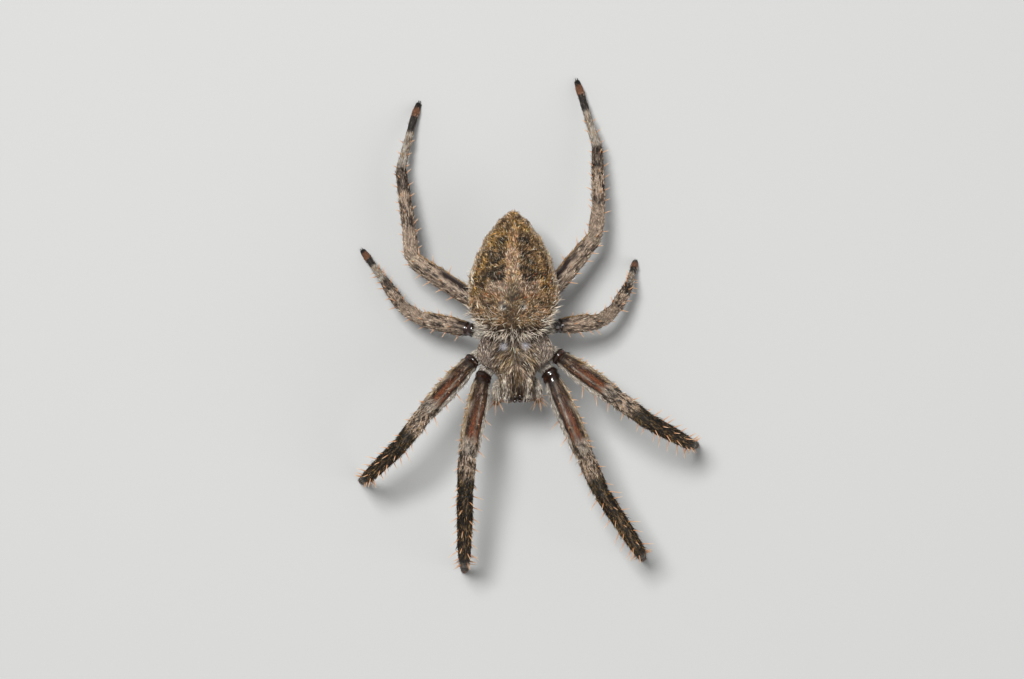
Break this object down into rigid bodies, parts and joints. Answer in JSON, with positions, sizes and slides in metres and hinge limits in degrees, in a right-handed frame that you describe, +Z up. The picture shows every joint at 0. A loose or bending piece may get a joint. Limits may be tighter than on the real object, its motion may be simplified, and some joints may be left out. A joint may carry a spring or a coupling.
{
  "type": "orb weaver spider",
  "caption": "Life-size figure of a hairy, mottled brown orb weaver spider, standing still with its legs spread to front and back.",
  "frame": {"origin": "middle of the underside of the bounding box, on the floor under the feet", "axes": "+Z up, the face looks along -Y, the tail is at +Y, the spider's own left side is +X"},
  "size_m": [0.0266, 0.039, 0.0116],
  "materials": {
    "abdomen coat": "short mottled golden-brown hair with a pale middle band",
    "carapace coat": "dense grey-white lying hair over brown",
    "leg coat": "banded grey, red-brown and dark brown hair with orange-brown spines",
    "dark shell": "glossy black-brown shell with few hairs",
    "jaw": "glossy dark brown with thin hair",
    "eye": "wet black"
  },
  "bodies": {
    "root": {"carapace": "carapace coat", "sternum": "dark shell", "mouthparts": "dark shell", "waist": "dark shell", "abdomen": "abdomen coat", "spinnerets": "dark shell", "eye_front_middle_left": "eye", "eye_front_middle_right": "eye", "eye_rear_middle_left": "eye", "eye_rear_middle_right": "eye", "eye_front_side_left": "eye", "eye_front_side_right": "eye", "eye_rear_side_left": "eye", "eye_rear_side_right": "eye", "chelicera_left": "jaw", "chelicera_right": "jaw", "palp_left": "leg coat", "palp_right": "leg coat", "coxa_left_1": "dark shell", "femur_left_1": "leg coat", "patella_tibia_left_1": "leg coat", "metatarsus_left_1": "leg coat", "tarsus_left_1": "leg coat", "coxa_left_2": "dark shell", "femur_left_2": "leg coat", "patella_tibia_left_2": "leg coat", "metatarsus_left_2": "leg coat", "tarsus_left_2": "leg coat", "coxa_left_3": "dark shell", "femur_left_3": "leg coat", "patella_tibia_left_3": "leg coat", "metatarsus_left_3": "leg coat", "tarsus_left_3": "leg coat", "coxa_left_4": "dark shell", "femur_left_4": "leg coat", "patella_tibia_left_4": "leg coat", "metatarsus_left_4": "leg coat", "tarsus_left_4": "leg coat", "coxa_right_1": "dark shell", "femur_right_1": "leg coat", "patella_tibia_right_1": "leg coat", "metatarsus_right_1": "leg coat", "tarsus_right_1": "leg coat", "coxa_right_2": "dark shell", "femur_right_2": "leg coat", "patella_tibia_right_2": "leg coat", "metatarsus_right_2": "leg coat", "tarsus_right_2": "leg coat", "coxa_right_3": "dark shell", "femur_right_3": "leg coat", "patella_tibia_right_3": "leg coat", "metatarsus_right_3": "leg coat", "tarsus_right_3": "leg coat", "coxa_right_4": "dark shell", "femur_right_4": "leg coat", "patella_tibia_right_4": "leg coat", "metatarsus_right_4": "leg coat", "tarsus_right_4": "leg coat"}
  },
  "joints": []
}
